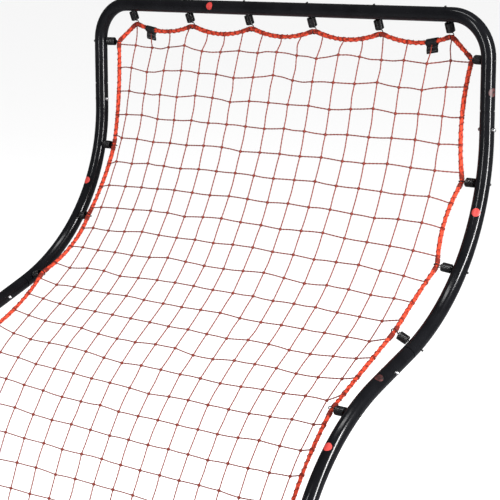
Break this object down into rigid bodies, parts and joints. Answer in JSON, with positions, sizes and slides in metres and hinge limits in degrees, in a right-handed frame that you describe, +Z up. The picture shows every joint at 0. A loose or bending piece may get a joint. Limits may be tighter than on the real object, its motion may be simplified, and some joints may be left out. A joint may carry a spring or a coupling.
{
  "type": "pitch back rebounder",
  "caption": "Ball rebounder: an S-curved round-tube frame with a square-mesh net hung on springs from an edge rope, and a folding rear stand.",
  "frame": {"origin": "on the ground, on the centre plane, under the axis of the bottom bar; the flat underside of the middle front foot pad", "axes": "+X to the right of a player who faces the net, -Y towards that player, +Z up"},
  "size_m": [1.1352, 0.809, 1.3286],
  "materials": {
    "black_tube": "gloss powder coat",
    "black_plate": "satin powder coat",
    "black_plastic": "moulded, fine grain",
    "black_spring": "black coated wire",
    "spring_steel": "bare spring steel",
    "button_steel": "polished nickel plate",
    "zinc": "bright zinc plate",
    "red_rope": "braided cord",
    "red_net": "knotted twine",
    "webbing": "woven webbing",
    "red_marker": "gloss vinyl",
    "worn_marker": "faded vinyl",
    "nylon": "moulded nylon",
    "rubber_pad": "moulded rubber"
  },
  "bodies": {
    "frame": {"top_bow": "black_tube", "bottom_bow": "black_tube", "upper_side_tube_left": "black_tube", "upper_side_tube_right": "black_tube", "lower_side_tube_left": "black_tube", "lower_side_tube_right": "black_tube", "frame_button_springs": "spring_steel", "top_springs": "black_spring", "bottom_springs": "black_spring", "left_side_springs": "black_spring", "right_side_springs": "black_spring", "edge_rope": "red_rope", "net": "red_net", "rope_tab_left": "webbing", "rope_tab_right": "webbing", "tube_markers": "red_marker", "worn_markers": "worn_marker", "stand_quadrant_left": "black_plate", "stand_quadrant_right": "black_plate", "pivot_bolts": "zinc", "pivot_nuts": "zinc", "pivot_washers": "zinc", "quadrant_bolts": "zinc", "quadrant_nuts": "zinc", "front_foot_pads": "rubber_pad"},
    "stand": {"stand_leg_left": "black_tube", "stand_leg_right": "black_tube", "rear_bow": "black_tube", "stand_leg_caps": "black_plastic", "pivot_bushes": "nylon", "clamp_nuts": "zinc", "clamp_washers": "zinc", "stand_button_springs": "spring_steel", "rear_foot_pads": "rubber_pad"},
    "clamp_left": {"clamp_knob_left": "black_plastic", "clamp_stud_left": "zinc"},
    "clamp_right": {"clamp_knob_right": "black_plastic", "clamp_stud_right": "zinc"},
    "top_button_left_outer": {"top_button_left_outer": "button_steel"},
    "top_button_left_inner": {"top_button_left_inner": "button_steel"},
    "top_button_right_outer": {"top_button_right_outer": "button_steel"},
    "top_button_right_inner": {"top_button_right_inner": "button_steel"},
    "middle_button_left_outer": {"middle_button_left_outer": "button_steel"},
    "middle_button_left_inner": {"middle_button_left_inner": "button_steel"},
    "middle_button_right_outer": {"middle_button_right_outer": "button_steel"},
    "middle_button_right_inner": {"middle_button_right_inner": "button_steel"},
    "bottom_button_left_outer": {"bottom_button_left_outer": "button_steel"},
    "bottom_button_left_inner": {"bottom_button_left_inner": "button_steel"},
    "bottom_button_right_outer": {"bottom_button_right_outer": "button_steel"},
    "bottom_button_right_inner": {"bottom_button_right_inner": "button_steel"},
    "stand_button_left_outer": {"stand_button_left_outer": "button_steel"},
    "stand_button_left_inner": {"stand_button_left_inner": "button_steel"},
    "stand_button_right_outer": {"stand_button_right_outer": "button_steel"},
    "stand_button_right_inner": {"stand_button_right_inner": "button_steel"}
  },
  "joints": [
    {"name": "stand_fold", "type": "hinge", "parent": "frame", "child": "stand", "pos_m": [0, 0, 0.122], "axis": [1, 0, 0], "range_deg": [0, 55]},
    {"name": "clamp_turn_left", "type": "hinge", "parent": "stand", "child": "clamp_left", "pos_m": [-0.55, 0.08917, 0.1098], "axis": [1, 0, 0], "continuous": true},
    {"name": "clamp_turn_right", "type": "hinge", "parent": "stand", "child": "clamp_right", "pos_m": [0.55, 0.08917, 0.1098], "axis": [1, 0, 0], "continuous": true},
    {"name": "top_button_left_outer_press", "type": "slide", "parent": "frame", "child": "top_button_left_outer", "axis": [1, 0, 0], "range_m": [0, 0.005], "stiffness_N_per_m": 2000, "deforming": ["frame_button_springs"]},
    {"name": "top_button_left_inner_press", "type": "slide", "parent": "frame", "child": "top_button_left_inner", "axis": [-1, 0, 0], "range_m": [0, 0.005], "stiffness_N_per_m": 2000, "deforming": ["frame_button_springs"]},
    {"name": "top_button_right_outer_press", "type": "slide", "parent": "frame", "child": "top_button_right_outer", "axis": [-1, 0, 0], "range_m": [0, 0.005], "stiffness_N_per_m": 2000, "deforming": ["frame_button_springs"]},
    {"name": "top_button_right_inner_press", "type": "slide", "parent": "frame", "child": "top_button_right_inner", "axis": [1, 0, 0], "range_m": [0, 0.005], "stiffness_N_per_m": 2000, "deforming": ["frame_button_springs"]},
    {"name": "middle_button_left_outer_press", "type": "slide", "parent": "frame", "child": "middle_button_left_outer", "axis": [1, 0, 0], "range_m": [0, 0.005], "stiffness_N_per_m": 2000, "deforming": ["frame_button_springs"]},
    {"name": "middle_button_left_inner_press", "type": "slide", "parent": "frame", "child": "middle_button_left_inner", "axis": [-1, 0, 0], "range_m": [0, 0.005], "stiffness_N_per_m": 2000, "deforming": ["frame_button_springs"]},
    {"name": "middle_button_right_outer_press", "type": "slide", "parent": "frame", "child": "middle_button_right_outer", "axis": [-1, 0, 0], "range_m": [0, 0.005], "stiffness_N_per_m": 2000, "deforming": ["frame_button_springs"]},
    {"name": "middle_button_right_inner_press", "type": "slide", "parent": "frame", "child": "middle_button_right_inner", "axis": [1, 0, 0], "range_m": [0, 0.005], "stiffness_N_per_m": 2000, "deforming": ["frame_button_springs"]},
    {"name": "bottom_button_left_outer_press", "type": "slide", "parent": "frame", "child": "bottom_button_left_outer", "axis": [1, 0, 0], "range_m": [0, 0.005], "stiffness_N_per_m": 2000, "deforming": ["frame_button_springs"]},
    {"name": "bottom_button_left_inner_press", "type": "slide", "parent": "frame", "child": "bottom_button_left_inner", "axis": [-1, 0, 0], "range_m": [0, 0.005], "stiffness_N_per_m": 2000, "deforming": ["frame_button_springs"]},
    {"name": "bottom_button_right_outer_press", "type": "slide", "parent": "frame", "child": "bottom_button_right_outer", "axis": [-1, 0, 0], "range_m": [0, 0.005], "stiffness_N_per_m": 2000, "deforming": ["frame_button_springs"]},
    {"name": "bottom_button_right_inner_press", "type": "slide", "parent": "frame", "child": "bottom_button_right_inner", "axis": [1, 0, 0], "range_m": [0, 0.005], "stiffness_N_per_m": 2000, "deforming": ["frame_button_springs"]},
    {"name": "stand_button_left_outer_press", "type": "slide", "parent": "stand", "child": "stand_button_left_outer", "axis": [1, 0, 0], "range_m": [0, 0.005], "stiffness_N_per_m": 2000, "deforming": ["stand_button_springs"]},
    {"name": "stand_button_left_inner_press", "type": "slide", "parent": "stand", "child": "stand_button_left_inner", "axis": [-1, 0, 0], "range_m": [0, 0.005], "stiffness_N_per_m": 2000, "deforming": ["stand_button_springs"]},
    {"name": "stand_button_right_outer_press", "type": "slide", "parent": "stand", "child": "stand_button_right_outer", "axis": [-1, 0, 0], "range_m": [0, 0.005], "stiffness_N_per_m": 2000, "deforming": ["stand_button_springs"]},
    {"name": "stand_button_right_inner_press", "type": "slide", "parent": "stand", "child": "stand_button_right_inner", "axis": [1, 0, 0], "range_m": [0, 0.005], "stiffness_N_per_m": 2000, "deforming": ["stand_button_springs"]}
  ]
}
